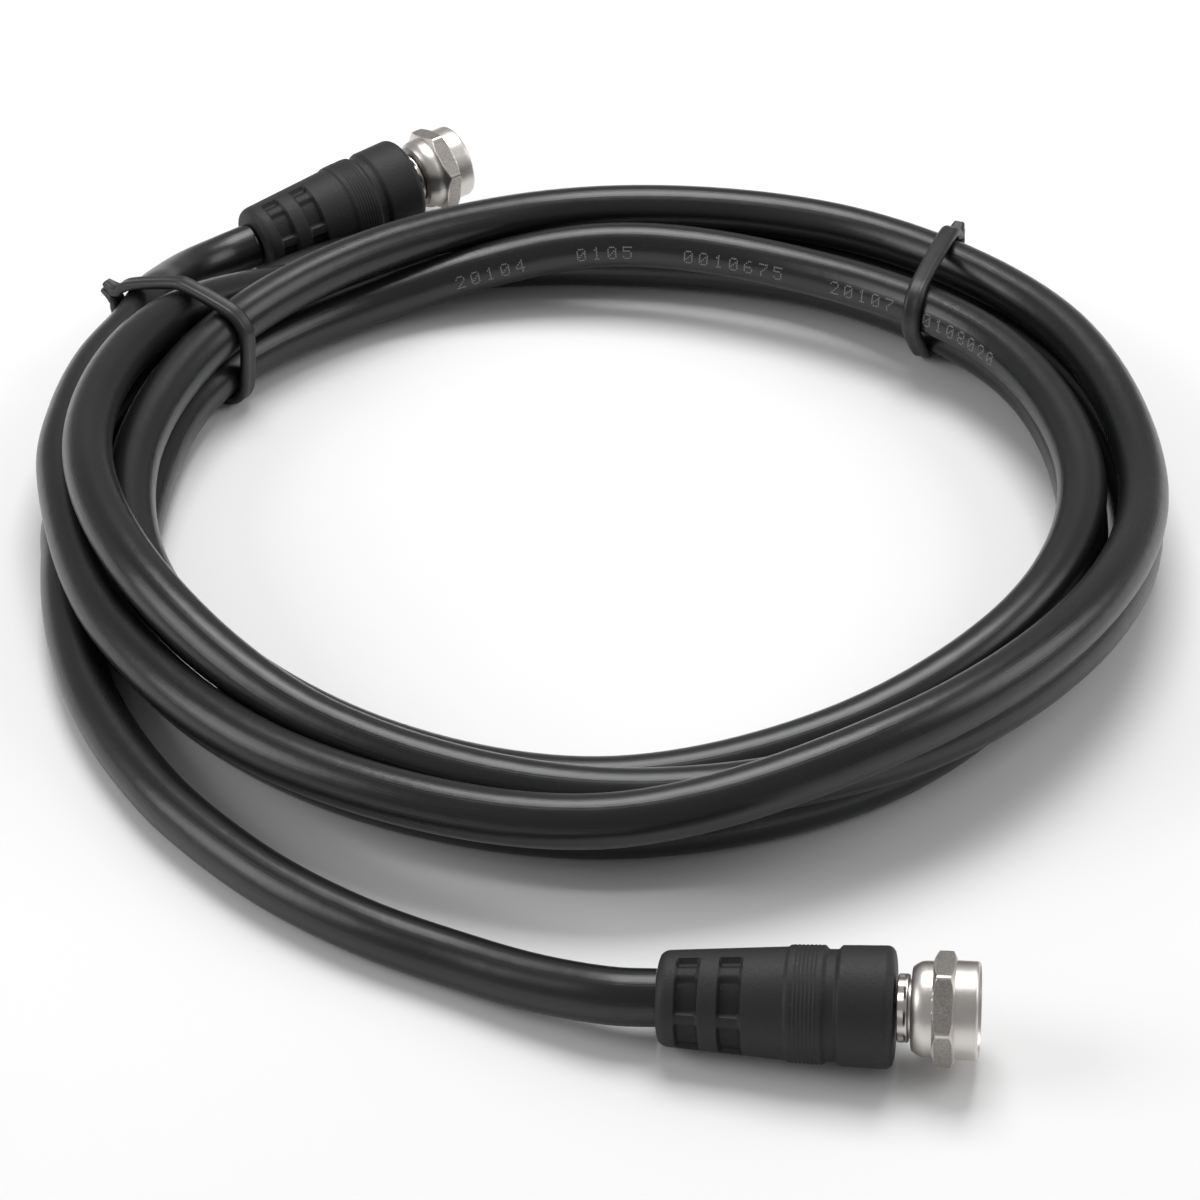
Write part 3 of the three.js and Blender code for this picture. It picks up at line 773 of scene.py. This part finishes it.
def tie_points(tie):
    """The middle line of a tie, as points in its plane, with x outwards and y up."""
    strands = strands_across(*tie_plane(tie))
    band = []
    for i in range(TIE_DIRECTIONS + 1):
        turn = TIE_END_TURN + FULL_TURN * i / TIE_DIRECTIONS
        way = np.array([math.cos(turn), math.sin(turn)])
        edges = [c + way * half ** 2 / np.linalg.norm(way * half) for c, half in strands]
        band.append(max(edges, key=lambda e: e @ way) + way * (GAP + TIE_THICKNESS / 2))
    out = np.array([math.cos(TIE_END_TURN), math.sin(TIE_END_TURN)])
    aside = np.array([-out[1], out[0]]) * CORD_PAIR_THICKNESS * 0.45
    root = band[0] + TIE_THICKNESS / 2 * out
    tip = root + TIE_END_LENGTH * out
    return np.array([tip + aside, root + aside] + band[1:-1] + [root - aside, tip - aside])


# %% The ties
SIDE_LOBES = 12


def tie_section():
    """The section: two round cords side by side with a groove between them."""
    half, radius = CORD_PAIR_WIDTH / 4, CORD_PAIR_THICKNESS / 2
    angles = np.linspace(-115, 115, SIDE_LOBES)
    right = [(half + half * math.cos(math.radians(a)),
              radius * math.sin(math.radians(a))) for a in angles]
    return np.array(right + [(-x, -y) for x, y in right])


def smooth_line(points, steps):
    flat = np.column_stack([points, np.zeros(len(points))])
    return curve_through(flat, steps)[:, :2]


for side, tie in TIES.items():
    middle, outwards, along = tie_plane(tie)
    line2d = smooth_line(tie_points(tie), 5)
    tangent = np.gradient(line2d, axis=0)
    tangent /= np.linalg.norm(tangent, axis=1)[:, None]
    normal = np.column_stack([tangent[:, 1], -tangent[:, 0]])
    section2d = tie_section()
    narrow = np.ones(len(line2d))
    narrow[:6] = np.linspace(0.6, 1, 6)
    narrow[-6:] = narrow[:6][::-1]
    up = np.array([0, 0, 1.0])
    rings = []
    for place, across, share in zip(line2d, normal, narrow):
        centre = middle + place[0] * outwards + place[1] * up
        thick_way = across[0] * outwards + across[1] * up
        rings.append([centre + share * (x * along + y * thick_way) for x, y in section2d])
    rings = np.array(rings)
    rings[:, :, 2] = np.maximum(rings[:, :, 2], TIE_ABOVE_FLOOR)
    piece = mesh_from_rings(f"tie_{side}_band", rings, tie_rubber, smooth_angle=60)
    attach(piece, "cable")
    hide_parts(f"tie_{side}")
    print(piece.name, len(piece.data.polygons), "faces")

# %% [markdown]
# Cable makers print lengths and numbers on the jacket with an ink-jet head, so each sign is a
# grid of dots, five across and seven down. The dots are real here: one tiny disc, set by
# Instance on Points on each place that the grid fills, and turned to face away from the cable.

# %% The printed numbers
DIGITS = {
    "0": "01110 10001 10011 10101 11001 10001 01110", "1": "00100 01100 00100 00100 00100 00100 01110",
    "2": "01110 10001 00001 00010 00100 01000 11111", "3": "11111 00010 00100 00010 00001 10001 01110",
    "4": "00010 00110 01010 10010 11111 00010 00010", "5": "11111 10000 11110 00001 00001 10001 01110",
    "6": "00110 01000 10000 11110 10001 10001 01110", "7": "11111 00001 00010 00100 01000 01000 01000",
    "8": "01110 10001 10001 01110 10001 10001 01110", "9": "01110 10001 10001 01111 00001 00010 01100",
}
PRINTED = "20104   0105   0010675   20107  0108020"
DOT_PITCH, DOT_RADIUS, DOT_HEIGHT = 0.27, 0.115, 0.02
SIGN_PITCH = 2.2
PRINT_START_HOUR, PRINT_TURN = 9.67, 1
PRINT_ANGLE = math.radians(82)


def dot_places():
    """How far along the print each dot is, and how far down from its top row."""
    for i, sign in enumerate(PRINTED):
        for row, bits in enumerate(DIGITS.get(sign, "").split()):
            for column, bit in enumerate(bits):
                if bit == "1":
                    yield i * SIGN_PITCH + column * DOT_PITCH, (row - 3) * DOT_PITCH


def dots_on_cable():
    """Each dot's place on the jacket and the way that it faces."""
    start = (coil_first + HOURS * PRINT_TURN + PRINT_START_HOUR) * STEPS
    start_run = np.interp(start, np.arange(len(cable_line)), cable_run)
    tangents = np.gradient(cable_line, axis=0)
    places, facing = [], []
    radius = CABLE_DIAMETER / 2
    for along, down in dot_places():
        run = start_run - along
        centre = np.array([np.interp(run, cable_run, cable_line[:, k]) for k in range(3)])
        ahead = np.array([np.interp(run, cable_run, tangents[:, k]) for k in range(3)])
        ahead /= np.linalg.norm(ahead)
        inwards = np.cross(np.array([0, 0, 1.0]), ahead)
        inwards /= np.linalg.norm(inwards)
        up = np.cross(ahead, inwards)
        angle = PRINT_ANGLE + down / radius
        way = math.cos(angle) * up + math.sin(angle) * inwards
        places.append(centre + radius * way)
        facing.append(way)
    return np.array(places), np.array(facing)


places, facing = dots_on_cable()
nodes, given, dot_sockets = geometry_tree(
    "ink_dots", {"Dot radius": ("Float", 0.0001), "Dot height": ("Float", 0.00002)})
disc = nodes.add("GeometryNodeMeshCylinder", None, {
    "Vertices": 6, "Radius": given["Dot radius"], "Depth": given["Dot height"]})
away = nodes.add("GeometryNodeInputNamedAttribute", {"data_type": "FLOAT_VECTOR"}, {"Name": "away"})
turn = nodes.add("FunctionNodeAlignRotationToVector", {"axis": "Z"}, {"Vector": away})
dots = nodes.add("GeometryNodeInstanceOnPoints", None, {
    0: given["Geometry"], "Instance": disc, "Rotation": turn})
close_tree(nodes, dots, ink)
printed = run_tree(
    "printed_numbers", MM * (places + COIL_CENTRE), [], nodes, dot_sockets,
    {"Dot radius": MM * DOT_RADIUS, "Dot height": MM * DOT_HEIGHT}, [("away", facing)])
printed.data.set_sharp_from_angle(angle=math.radians(40))
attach(printed, "cable")
print(len(places), "dots and", len(printed.data.polygons), "faces")

# %% [markdown]

# %% [markdown]
# A plain pale floor and soft light finish the set: one broad light above and behind, which
# draws the long highlights along the jacket, one from each side for the rims, and a dim grey
# world, so that black plastic stays black.

# %% Floor, lights and world
FLOOR_SIZE = 6.0
floor_mesh = bpy.data.meshes.new("floor")
half = FLOOR_SIZE / 2
floor_mesh.from_pydata([(-half, -half, 0), (half, -half, 0), (half, half, 0), (-half, half, 0)],
                       [], [(0, 1, 2, 3)])
floor_mesh.materials.append(floor_paper)
floor = bpy.data.objects.new("floor", floor_mesh)
bpy.context.collection.objects.link(floor)


def add_light(name, place, size, power):
    """A square area light that looks at the middle of the coil."""
    data = bpy.data.lights.new(name, "AREA")
    data.size = size
    data.energy = power
    light = bpy.data.objects.new(name, data)
    light.location = place
    light.rotation_euler = (-Vector(place)).to_track_quat("-Z", "Y").to_euler()
    bpy.context.collection.objects.link(light)
    return light


add_light("sky", (0.0, 0.3, 0.75), 0.45, 4.6)
add_light("left", (-0.8, -0.1, 0.45), 0.5, 3.0)
add_light("right", (0.75, 0.1, 0.5), 0.5, 2.2)
world = bpy.data.worlds.new("studio")
world.use_nodes = True
world.node_tree.nodes["Background"].inputs["Color"].default_value = (1, 1, 1, 1)
world.node_tree.nodes["Background"].inputs["Strength"].default_value = 0.32
bpy.context.scene.world = world
bpy.context.scene.view_settings.view_transform = "Standard"
print(len(bpy.data.lights), "lights")

# %% [markdown]
